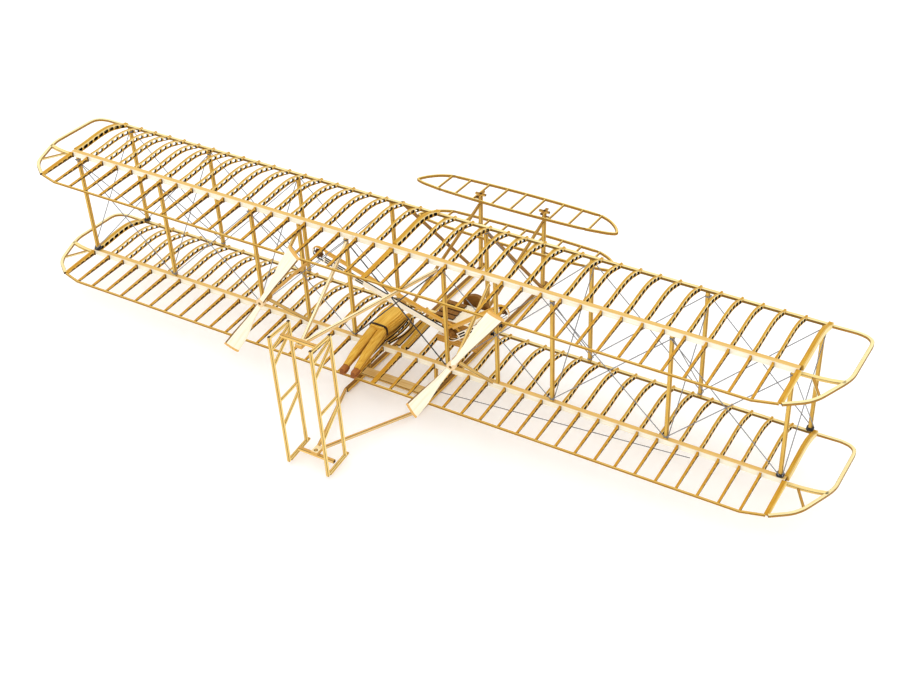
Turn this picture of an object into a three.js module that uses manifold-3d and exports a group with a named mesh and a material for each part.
// Biplane display model: stick-and-rib airframe with canard elevator, twin pusher
// propellers, twin rudder on booms, prone pilot and skids. Millimetres, +Z up.
// Span lies along X, the elevator points to -Y, the rudder to +Y.
import * as THREE from 'three';
import { mergeVertices } from 'three/addons/utils/BufferGeometryUtils.js';
import Module from 'manifold-3d';

const wasm = await Module();
wasm.setup();
const { Manifold, Mesh } = wasm;

// ---- driving dimensions -------------------------------------------------
const GAP = 0.3;                 // clearance between glued neighbours
const RIB_PITCH = 11.5;          // spacing of the wing ribs
const RIBS_EACH_SIDE = 20;       // ribs on each side of the centre rib
const LAST_RIB_X = 231;          // end rib, half span of the ribbed part
const TIP_X = 254.8;             // centre line of the wing-tip bow
const CHORD = 78;                // leading spar to trailing edge
const REAR_SPAR_U = 46.6;        // rear spar behind the leading spar
const WING_GAP = 71.5;           // lower to upper leading spar
const INCIDENCE = THREE.MathUtils.degToRad(3.1);
const LEAD_Y = -21;              // lower leading spar in the object frame
const LEAD_Z = 19.8;             // lower leading spar above the ground
const STRUT = 2;                 // strut section
const FRONT_STRUTS = [31.4, 97.7, 165.2, 228.3];
const REAR_STRUTS = [31.4, 63.7, 97.7, 165.2, 228.3];
const THREAD = 0.5;              // rigging thread thickness
const SHAFT_X = 61.3;            // propeller shafts
const SHAFT_W = 46.5;            // shaft height above the lower leading spar
const SHAFT_R = 0.9;
const SPROCKET_U = 34;           // chain plane
const HUB_U = 89.2;              // propeller plane
const PROP_R = 50;               // propeller radius
const PROP_ANGLE = 124;          // rest angle of the blades
const CRANK_X = -28;             // engine crankshaft
const CRANK_W = 20;
const SKID_X = 23.2;
const SKID_REAR = 49.3;          // rear end of the skids
const POST_Y = -106.1;           // elevator posts
const ELEV_HALF = 72.2;          // half span of the elevator planes
const ELEV_Z = [26.7, 53];       // lower and upper elevator plane
const RUD_X = 12.7;              // rudder frames either side of the centre
const RUD_H = 82.6;              // height of the rudder frames
const RUD_FRONT = -8.3;          // front and rear post about the hinge
const RUD_REAR = 8;
const RUD_Y = 111.08;            // foot of the rudder hinge
const RUD_Z = 4;
const RUD_LEAN = THREE.MathUtils.degToRad(4.5);

// ---- colours ------------------------------------------------------------
const BALSA = 0xd9a94a;
const SPAR_WOOD = 0xe6bd6a;
const PALE = 0xf2e6cc;
const DARK = 0x5b4322;
const CORD = 0x35342f;

// ---- helpers ------------------------------------------------------------
const group = new THREE.Group();
group.name = 'biplane_scale_model';

const V = (x, y, z) => new THREE.Vector3(x, y, z);

function toSolid(geometry) {
  const g = geometry.clone();
  g.deleteAttribute('normal');
  g.deleteAttribute('uv');
  const merged = mergeVertices(g, 1e-4);
  return new Manifold(new Mesh({
    numProp: 3,
    vertProperties: new Float32Array(merged.attributes.position.array),
    triVerts: new Uint32Array(merged.index.array),
  }));
}

function fromSolid(solid) {
  const m = solid.getMesh();
  const g = new THREE.BufferGeometry();
  g.setAttribute('position', new THREE.BufferAttribute(new Float32Array(m.vertProperties), 3));
  g.setIndex(new THREE.BufferAttribute(new Uint32Array(m.triVerts), 1));
  return g;
}

function join(geometries, cuts = []) {
  let solid = toSolid(geometries[0]);
  for (const g of geometries.slice(1)) {
    solid = solid.add(toSolid(g));
  }
  for (const c of cuts) {
    solid = solid.subtract(toSolid(c));
  }
  return fromSolid(solid);
}

function add(name, color, geometry, frame) {
  const g = frame ? geometry.clone().applyMatrix4(frame) : geometry;
  g.computeVertexNormals();
  const material = new THREE.MeshStandardMaterial({ color });
  const mesh = new THREE.Mesh(g, material);
  mesh.name = name;
  group.add(mesh);
}

// box centred on (x, y, z)
function block(x, y, z, dx, dy, dz) {
  return new THREE.BoxGeometry(dx, dy, dz).translate(x, y, z);
}

// square stick from a to b; width lies across, height lies towards up
function stick(a, b, width, height, up = V(0, 0, 1), extra = 0) {
  const along = b.clone().sub(a);
  const length = along.length() + 2 * extra;
  along.normalize();
  const side = along.clone().cross(up).normalize();
  const top = side.clone().cross(along).normalize();
  const g = new THREE.BoxGeometry(length, width, height);
  const m = new THREE.Matrix4().makeBasis(along, side.negate(), top);
  m.setPosition(a.clone().add(b).multiplyScalar(0.5));
  return g.applyMatrix4(m);
}

// sides of a strip of the given width along a line of (a, b) points, mitred
function offsets(line, width, closed) {
  const n = line.length;
  return [1, -1].map((sign) => line.map((p, i) => {
    const before = line[closed ? (i + n - 1) % n : Math.max(i - 1, 0)];
    const after = line[closed ? (i + 1) % n : Math.min(i + 1, n - 1)];
    const normals = [[before, p], [p, after]].map(([q, r]) => {
      const d = new THREE.Vector2(r[0] - q[0], r[1] - q[1]);
      return d.lengthSq() ? new THREE.Vector2(-d.y, d.x).normalize() : d;
    });
    const mid = normals[0].clone().add(normals[1]).normalize();
    const full = normals[0].lengthSq() ? normals[0] : normals[1];
    const reach = (sign * width) / 2 / mid.dot(full);
    return [p[0] + mid.x * reach, p[1] + mid.y * reach];
  }));
}

// flat open strip, thickness centred on z = 0
function strip(line, width, thickness) {
  const [a, b] = offsets(line, width, false);
  return plate([...a, ...b.reverse()], thickness).translate(0, 0, -thickness / 2);
}

// flat closed strip, thickness centred on z = 0
function ring(line, width, thickness) {
  const pair = offsets(line, width, true).map((side) => {
    return side.map(([a, b]) => new THREE.Vector2(a, b));
  });
  const area = (q) => Math.abs(THREE.ShapeUtils.area(q));
  pair.sort((a, b) => area(b) - area(a));
  const shape = new THREE.Shape(pair[0]);
  shape.holes.push(new THREE.Path(pair[1]));
  const g = new THREE.ExtrudeGeometry(shape, { depth: thickness, bevelEnabled: false });
  return g.translate(0, 0, -thickness / 2);
}

// flat plate from (a, b) outline points, extruded along +z
function plate(outline, thickness) {
  const shape = new THREE.Shape(outline.map(([a, b]) => new THREE.Vector2(a, b)));
  return new THREE.ExtrudeGeometry(shape, { depth: thickness, bevelEnabled: false });
}

// plate whose outline lies in (y, z) and whose thickness is centred on x
function sidePlate(outline, thickness, x) {
  const m = new THREE.Matrix4().makeBasis(V(0, 1, 0), V(0, 0, 1), V(1, 0, 0));
  m.setPosition(x - thickness / 2, 0, 0);
  return plate(outline, thickness).applyMatrix4(m);
}

// plate whose outline lies in (x, z) and whose thickness is centred on y
function frontPlate(outline, thickness, y) {
  const m = new THREE.Matrix4().makeBasis(V(1, 0, 0), V(0, 0, 1), V(0, -1, 0));
  m.setPosition(0, y + thickness / 2, 0);
  return plate(outline, thickness).applyMatrix4(m);
}

// cylinder along y
function pin(x, y0, y1, z, radius, sides = 12) {
  const g = new THREE.CylinderGeometry(radius, radius, Math.abs(y1 - y0), sides);
  return g.translate(x, (y0 + y1) / 2, z);
}

// wing frame: x span, y chordwise from the leading spar, z up from it
const wingFrame = new THREE.Matrix4()
  .makeTranslation(0, LEAD_Y, LEAD_Z)
  .multiply(new THREE.Matrix4().makeRotationX(-INCIDENCE));
const inWing = (x, u, w) => V(x, u, w).applyMatrix4(wingFrame);

// ---- wings --------------------------------------------------------------
const SPAR_TOP = 5.8;
const SPAR_LOW = 2.2;
const noseTop = [[0.6, 1], [8, 5], [22, 7.1], [44.8, 5.9]];
const noseDepth = [2, 2.9, 3, 2.9];
const tailTop = [[48.4, 5.1], [77.4, 3.3]];
const tailDepth = [2.4, 1];

function ribOutline(top, depth, lift) {
  const lower = top.map(([u, w], i) => [u, w - depth[i] + lift]).reverse();
  return [...top.map(([u, w]) => [u, w + lift]), ...lower].reverse();
}

function ribX(k) {
  return Math.abs(k) === RIBS_EACH_SIDE ? Math.sign(k) * LAST_RIB_X : k * RIB_PITCH;
}

function ribThickness(k) {
  if (k === 0) {
    return 2.6;
  }
  return Math.abs(k) === RIBS_EACH_SIDE ? 2 : 1.2;
}

function tipOutline(s) {
  return [
    [s * 232.4, 0], [s * 246, -0.4], [s * 251, 0.8], [s * 254, 3.4],
    [s * TIP_X, 7], [s * TIP_X, 37], [s * 253.2, 43], [s * 246, 61], [s * 242, 66.4],
    [s * 232.9, 73.4],
  ];
}

for (const [level, lift] of [['lower', 0], ['upper', WING_GAP]]) {
  const nose = [block(0, 0, 0, 2 * LAST_RIB_X + 2, 2.2, 2.4)];
  const tail = [];
  const te = [];
  for (let k = -RIBS_EACH_SIDE; k <= RIBS_EACH_SIDE; k += 1) {
    const thick = ribThickness(k);
    const camber = k === 0 ? 0.8 : 0;
    nose.push(sidePlate(ribOutline(noseTop, noseDepth, camber), thick, ribX(k)));
    const end = Math.abs(k) === RIBS_EACH_SIDE ? 73.4 : 77.4;
    const top = [tailTop[0], [end, 3.3]];
    tail.push(sidePlate(ribOutline(top, tailDepth, 0), thick, ribX(k)));
  }
  const edge = [
    [-LAST_RIB_X, 74], [-19 * RIB_PITCH, CHORD - 0.6], [19 * RIB_PITCH, CHORD - 0.6],
    [LAST_RIB_X, 74],
  ];
  te.push(strip(edge, 2.2, 1.1).translate(0, 0, 2.8));
  const up = new THREE.Matrix4().makeTranslation(0, 0, lift);
  const frame = wingFrame.clone().multiply(up);
  add(`${level}_nose_ribs`, BALSA, join(nose), frame);
  const sparMid = (SPAR_TOP + SPAR_LOW) / 2;
  const sparBar = block(0, REAR_SPAR_U, sparMid, 2 * LAST_RIB_X + 1, 3, SPAR_TOP - SPAR_LOW);
  add(`${level}_rear_spar`, SPAR_WOOD, sparBar, frame);
  add(`${level}_tail_ribs`, BALSA, join([...tail, ...te]), frame);
  for (const [side, s] of [['left', 1], ['right', -1]]) {
    const bow = [strip(tipOutline(s), 2, 1.4)];
    bow.push(stick(V(s * 232.4, 46.6, 0), V(s * 253, 43.4, 0), 3, 1.4));
    bow.push(stick(V(s * 238, 46.4, 0), V(s * 246, 60, 0), 1.4, 1.2));
    // the flat bow rises from the leading spar to the trailing edge
    const rise = new THREE.Matrix4().makeShear(0, 0, 0, 2.8 / 74, 0, 0);
    add(`${level}_tip_${side}`, BALSA, join(bow), frame.clone().multiply(rise));
  }
}

// ---- interplane struts --------------------------------------------------
const sides = [['left', 1], ['right', -1]];
for (const [side, s] of sides) {
  FRONT_STRUTS.forEach((x, i) => {
    const bottom = 1.2 + GAP;
    const top = WING_GAP - 1.2 - GAP;
    const bar = block(s * x, 0, (bottom + top) / 2, STRUT, STRUT, top - bottom);
    add(`front_strut_${side}_${i + 1}`, BALSA, bar, wingFrame);
  });
  REAR_STRUTS.forEach((x, i) => {
    const bottom = SPAR_TOP + GAP;
    const top = WING_GAP + SPAR_LOW - GAP;
    const bar = block(s * x, REAR_SPAR_U, (bottom + top) / 2, STRUT, STRUT, top - bottom);
    add(`rear_strut_${side}_${i + 1}`, BALSA, bar, wingFrame);
  });
}

// ---- rigging threads ----------------------------------------------------
// a tied knot beside a strut, reaching out to the fore-and-aft thread
function knot(x, u, w) {
  const out = Math.sign(x);
  return block(x + out * 0.7, u, w, 2.6, 0.6, 1);
}

const FRONT_U = -1.5;
const REAR_U = REAR_SPAR_U + 1.5;
const LOW_F = 3;
const HIGH_F = WING_GAP - 3;
const LOW_R = SPAR_TOP + 1.6;
const HIGH_R = WING_GAP + SPAR_LOW - 1.6;

function thread(a, b) {
  return stick(a, b, THREAD, THREAD, V(0, 1, 0.01));
}

for (const [side, s] of sides) {
  const lines = [];
  const bays = [[31.4, 97.7], [97.7, 165.2], [165.2, 228.3]];
  for (const [a, b] of bays) {
    lines.push(thread(V(s * a, FRONT_U, LOW_F), V(s * b, FRONT_U, HIGH_F)));
    lines.push(thread(V(s * a, FRONT_U, HIGH_F), V(s * b, FRONT_U, LOW_F)));
    lines.push(thread(V(s * a, REAR_U, LOW_R), V(s * b, REAR_U, HIGH_R)));
    lines.push(thread(V(s * a, REAR_U, HIGH_R), V(s * b, REAR_U, LOW_R)));
  }
  for (const x of FRONT_STRUTS) {
    for (const [u, w] of [[FRONT_U, LOW_F], [FRONT_U, HIGH_F], [REAR_U, LOW_R], [REAR_U, HIGH_R]]) {
      lines.push(knot(s * x, u, w));
    }
    if (x > FRONT_STRUTS[0]) {
      const off = s * (x + 1.5);
      lines.push(thread(V(off, FRONT_U, LOW_F), V(off, REAR_U, HIGH_R)));
      lines.push(thread(V(off, FRONT_U, HIGH_F), V(off, REAR_U, LOW_R)));
    }
  }
  add(`rigging_${side}`, CORD, join(lines), wingFrame);
}

const inner = FRONT_STRUTS[0] - 0.9;
add('rigging_centre', CORD, join([
  thread(V(inner, REAR_U, LOW_R), V(-inner, REAR_U, HIGH_R)),
  thread(V(inner, REAR_U, HIGH_R), V(-inner, REAR_U, LOW_R)),
]), wingFrame);

// ---- skids and cross plate ----------------------------------------------
const skidTop = 2.3;
const frontSparFoot = inWing(0, 0, -1.2).z - GAP;
const rearFoot = inWing(0, REAR_SPAR_U, SPAR_LOW);
for (const [side, s] of sides) {
  const x = s * SKID_X;
  const runner = sidePlate([
    [POST_Y - 5, 1.6], [POST_Y - 3.4, 0], [SKID_REAR, 0], [SKID_REAR, skidTop],
    [POST_Y - 5, skidTop],
  ], 2.4, x);
  const front = block(x, LEAD_Y, (1 + frontSparFoot) / 2, 1.8, 1.8, frontSparFoot - 1);
  const rearTop = rearFoot.z - GAP;
  const rear = block(x, rearFoot.y, (1 + rearTop) / 2, 1.8, 1.8, rearTop - 1);
  add(`skid_${side}`, BALSA, join([runner, front, rear]));
}
add('skid_cross_plate', SPAR_WOOD, block(0, rearFoot.y + 5.2, 3.4, 2 * SKID_X + 2.4, 7, 1.4));

// ---- elevator carriage --------------------------------------------------
const POST_TOP = 55.8;
for (const [side, s] of sides) {
  const x = s * (SKID_X - 0.4);
  const low = skidTop + GAP;
  const post = block(x, POST_Y, (low + POST_TOP) / 2, 2.2, 2.2, POST_TOP - low);
  const capX = block(x, POST_Y, POST_TOP + 0.5, 7.2, 2, 1.2);
  const capY = block(x, POST_Y, POST_TOP + 0.5, 1.8, 8, 1.2);
  add(`elevator_post_${side}`, BALSA, join([post, capX, capY]));
  const stayTop = V(x, POST_Y + 1.9, 49.5);
  const stayFoot = inWing(x, -2.1, 0.2);
  add(`elevator_stay_${side}`, BALSA, stick(stayTop, stayFoot, 1.6, 1.8));
  const ox = s * (SKID_X + 2.4);
  const legTop = inWing(ox, -2.3, WING_GAP - 0.6);
  const legFoot = V(ox, POST_Y + 4, 2.2);
  add(`outrigger_${side}`, BALSA, stick(legTop, legFoot, 1.6, 1.8));
}

// ---- elevator planes ----------------------------------------------------
const ELEV_PITCH = 13.5;
const front = (x) => -125.6 + 0.0006 * x * x;
const rear = (x) => -102.4 - 0.0006 * x * x;
const tipPoints = [[54, front(54)], [61.6, -120.4], [67.6, -115.2], [ELEV_HALF, -108.3]];
const tailPoints = [[66, -106.1], [52, rear(52)]];

function elevatorOutline() {
  const frontXs = [0, 30];
  const right = [...frontXs.map((x) => [x, front(x)]), ...tipPoints];
  const back = [...tailPoints, [28, rear(28)], [0, rear(0)]];
  const half = [...right, ...back];
  const mirror = half.slice(1, -1).reverse().map(([x, y]) => [-x, y]);
  return [...half, ...mirror];
}

['lower', 'upper'].forEach((level, i) => {
  const z = ELEV_Z[i];
  const bars = [ring(elevatorOutline(), 1.6, 1.6).translate(0, 0, z)];
  for (let j = -4; j <= 4; j += 1) {
    const x = j * ELEV_PITCH;
    bars.push(stick(V(x, front(x), z), V(x, rear(x), z), 1.1, 1.4));
  }
  for (const s of [1, -1]) {
    const inner = s * (SKID_X - 0.4 + 1.1 + GAP);
    const pinBar = new THREE.CylinderGeometry(0.6, 0.6, 27 - Math.abs(inner), 6);
    pinBar.rotateZ(Math.PI / 2).translate(s * (27 + Math.abs(inner)) / 2, POST_Y, z);
    bars.push(pinBar);
  }
  add(`elevator_${level}`, BALSA, join(bars));
});

// ---- rudder -------------------------------------------------------------
const rudderFrame = new THREE.Matrix4()
  .makeTranslation(0, RUD_Y, RUD_Z)
  .multiply(new THREE.Matrix4().makeRotationX(-RUD_LEAN));
for (const [side, s] of sides) {
  const x = s * RUD_X;
  const f = RUD_FRONT;
  const r = RUD_REAR;
  const bars = [
    stick(V(x, f, 0.8), V(x, f, RUD_H - 1), 1.6, 1.6, V(0, 1, 0), 0.8),
    stick(V(x, r, -0.4), V(x, r, RUD_H), 1.6, 1.6, V(0, 1, 0), 0.8),
    stick(V(x, f, RUD_H - 1), V(x, r, RUD_H), 1.6, 1.6, V(0, 0, 1), 0),
    stick(V(x, f, 0.8), V(x, r, -0.4), 1.6, 1.6, V(0, 0, 1), 0),
    stick(V(x, f - 2.6, 0), V(x, r - 1.6, -1.4), 1.6, 1.2, V(0, 0, 1), 0),
    stick(V(x, f, 41.8), V(x, r, 40.8), 1.4, 1.6, V(0, 0, 1), 0),
    stick(V(x, f, 36), V(x, r, 23.4), 1.2, 1.4, V(0, 0, 1), 0),
    stick(V(x, f, 76), V(x, r, 64.4), 1.2, 1.4, V(0, 0, 1), 0),
    stick(V(x, f, 79.4), V(x, r, 74.6), 1.2, 1.4, V(0, 0, 1), 0),
  ];
  add(`rudder_frame_${side}`, BALSA, join(bars), rudderFrame);
}
const barHalf = RUD_X - 0.8 - GAP;
for (const [name, h, out] of [['top', RUD_H - 3, -1], ['bottom', 2, 1]]) {
  const bar = block(0, 0, h, 2 * barHalf, 2, 1.8);
  const post = new THREE.CylinderGeometry(0.7, 0.7, 3.2, 8).rotateX(Math.PI / 2);
  const peg = post.translate(0, 0, h + out * 2);
  add(`rudder_bar_${name}`, SPAR_WOOD, join([bar, peg]), rudderFrame);
}

// ---- tail booms ---------------------------------------------------------
// each pair of booms runs together into a bored block that carries the hinge
const bore = (h) => new THREE.CylinderGeometry(1.1, 1.1, 8, 10).rotateX(Math.PI / 2)
  .translate(0, 0, h);
const topH = RUD_H - 3 - 0.9 - GAP;
const lowH = 2 + 0.9 + GAP;
function boomPair(name, starts, h0, h1) {
  const mid = (h0 + h1) / 2;
  const hingeBlock = block(0, -0.9, mid, 4, 5.4, h1 - h0).applyMatrix4(rudderFrame);
  const bars = [hingeBlock];
  const meet = V(0, -2.9, mid).applyMatrix4(rudderFrame);
  for (const p of starts) {
    const side = Math.sign(p.x);
    bars.push(stick(p, meet.clone().add(V(side * 0.9, 0, 0)), 1.6, 1.8));
  }
  add(name, BALSA, join(bars, [bore(mid).applyMatrix4(rudderFrame)]));
}
boomPair('boom_upper', [1, -1].map((s) => inWing(s * 29.2, REAR_SPAR_U + 3.1, WING_GAP + 0.6)),
  topH - 2.2, topH);
boomPair('boom_lower', [1, -1].map((s) => V(s * (SKID_X - 0.6), SKID_REAR + 1.5, 2.6)),
  lowH, lowH + 2.2);

// ---- propellers, shafts and sprockets -----------------------------------
// blade outline from hub to square tip, r along the blade, c across it
const blade = [
  [0, -1.7], [8, -1.7], [18, -2.6], [34, -4.6], [PROP_R, -5], [PROP_R, 4.6], [34, 3.6],
  [18, 2.2], [8, 1.7], [0, 1.7],
];

function propeller(turn) {
  const parts = [];
  for (const flip of [0, 1]) {
    const g = plate(blade, 1.4).translate(0, 0, -0.7);
    // washed-out pitch: the root stands steeper than the tip
    const pos = g.attributes.position;
    for (let i = 0; i < pos.count; i += 1) {
      const r = pos.getX(i);
      const c = pos.getY(i);
      const t = pos.getZ(i);
      const a = turn * THREE.MathUtils.degToRad(30 - 0.3 * r);
      pos.setXYZ(i, r, c * Math.cos(a) - t * Math.sin(a), c * Math.sin(a) + t * Math.cos(a));
    }
    parts.push(g.rotateZ(flip * Math.PI));
  }
  const hub = new THREE.CylinderGeometry(2.4, 2.4, 3.4, 12).rotateX(Math.PI / 2);
  parts.push(hub);
  return join(parts).rotateZ(THREE.MathUtils.degToRad(PROP_ANGLE)).rotateX(Math.PI / 2);
}

const BEARING_U = 84;
for (const [side, s] of sides) {
  const x = s * SHAFT_X;
  add(`propeller_${side}`, PALE, propeller(-s).translate(x, HUB_U + 0.4, SHAFT_W), wingFrame);
  const teeth = 8;
  const disc = [];
  for (let i = 0; i < teeth * 2; i += 1) {
    const a = (Math.PI * i) / teeth;
    const r = i % 2 ? 3.1 : 2.6;
    disc.push([x + r * Math.cos(a), SHAFT_W + r * Math.sin(a)]);
  }
  const sprocket = frontPlate(disc, 1, SPROCKET_U);
  const shaft = pin(x, SPROCKET_U - 1.4, HUB_U + 0.4 - 1.7 - 0.15, SHAFT_W, SHAFT_R, 8);
  const collar = pin(x, BEARING_U + 2.3, HUB_U - 1.6, SHAFT_W, 1.8, 10);
  add(`prop_shaft_${side}`, SPAR_WOOD, join([sprocket, shaft, collar]), wingFrame);
  // bearing tube held behind the wings by an upper and a lower leg
  const tube = pin(x, BEARING_U - 2, BEARING_U + 2, SHAFT_W, 2.2, 10);
  const rod = pin(x, BEARING_U - 4, BEARING_U + 4, SHAFT_W, SHAFT_R + 0.35, 10);
  const rearFace = REAR_SPAR_U + 2.4;
  const upper = stick(V(x, BEARING_U - 0.6, SHAFT_W + 1.8), V(x, rearFace, WING_GAP + 1.2), 1.6, 1.8);
  const lower = stick(V(x, BEARING_U - 0.6, SHAFT_W - 1.8), V(x, rearFace, SPAR_TOP + 0.9), 1.6, 1.8);
  add(`prop_bracket_${side}`, BALSA, join([tube, upper, lower], [rod]), wingFrame);
}

// ---- chains -------------------------------------------------------------
// closed slotted loop round the two sprockets it joins, outline in (x, z)
function loop(ax, az, bx, bz, radius) {
  const turn = Math.atan2(bz - az, bx - ax);
  const out = [];
  for (const [cx, cz, from] of [[bx, bz, -0.5], [ax, az, 0.5]]) {
    for (let i = 0; i <= 6; i += 1) {
      const a = turn + Math.PI * (from + i / 6);
      out.push([cx + radius * Math.cos(a), cz + radius * Math.sin(a)]);
    }
  }
  return out;
}

for (const [side, s] of sides) {
  const plane = SPROCKET_U + (s > 0 ? 0 : 2.2);
  const ax = s * SHAFT_X;
  const shaftSide = SPROCKET_U;
  const u = s > 0 ? shaftSide : plane;
  const outer = frontPlate(loop(ax, SHAFT_W, CRANK_X, CRANK_W, 4.6), 1.1, u);
  const inner = frontPlate(loop(ax, SHAFT_W, CRANK_X, CRANK_W, 3.5), 3, u);
  add(`chain_${side}`, PALE, join([outer], [inner]), wingFrame);
}

// ---- engine -------------------------------------------------------------
const ENGINE_FLOOR = 7.6;
const crankBore = pin(CRANK_X, 0, 60, CRANK_W, 1.4, 10);
const engineBody = [
  block(CRANK_X, 21, 17.6, 20, 18, 12),
  block(CRANK_X, 20, ENGINE_FLOOR + 2.4, 26, 22, 4.8),
  block(CRANK_X - 14, 20, 19, 10, 16, 8.4),
];
for (let i = 0; i < 4; i += 1) {
  engineBody.push(block(CRANK_X + 9, 14.6 + 4.2 * i, 21.6, 12, 3.2, 6));
}
add('engine_block', PALE, join(engineBody, [crankBore]), wingFrame);
const wheel = pin(CRANK_X, 5.6, 8.4, CRANK_W, 8.6, 20);
const crank = pin(CRANK_X, 7, SPROCKET_U + 3.4, CRANK_W, 1, 8);
const driveA = pin(CRANK_X, SPROCKET_U - 0.5, SPROCKET_U + 0.5, CRANK_W, 2.9, 10);
const driveB = pin(CRANK_X, SPROCKET_U + 1.7, SPROCKET_U + 2.7, CRANK_W, 2.9, 10);
add('flywheel_crank', DARK, join([wheel, crank, driveA, driveB]), wingFrame);

// ---- prone pilot --------------------------------------------------------
const PILOT_X = 17.6;
const body = [
  block(PILOT_X, 33.5, 11.6, 10.6, 21, 6.6),
  block(PILOT_X, 26.5, 11.4, 14, 6, 5.6),
  block(PILOT_X, 46, 10.9, 9.6, 9, 6),
  stick(V(PILOT_X + 6.4, 27, 11), V(PILOT_X + 7.6, 12, 9.9), 2.6, 2.8),
  stick(V(PILOT_X - 6.4, 27, 11), V(PILOT_X - 7.6, 12, 9.9), 2.6, 2.8),
];
for (const s of [1, -1]) {
  const hip = V(PILOT_X + s * 2.6, 48, 10.6);
  const foot = V(PILOT_X - 4 + s * 3.6, 78, 8.4);
  body.push(stick(hip, foot, 3.8, 4.2));
  body.push(block(foot.x, foot.y + 1.2, foot.z - 0.6, 3.6, 4.4, 5));
}
add('pilot_body', SPAR_WOOD, join(body), wingFrame);
const head = new THREE.SphereGeometry(1, 10, 7).scale(3.1, 4.2, 3.5);
const neck = block(0, 4.4, -0.6, 2.6, 3, 2.6);
add('pilot_head', SPAR_WOOD, join([head, neck]).translate(PILOT_X, 16.7, 12.6), wingFrame);

export default group;
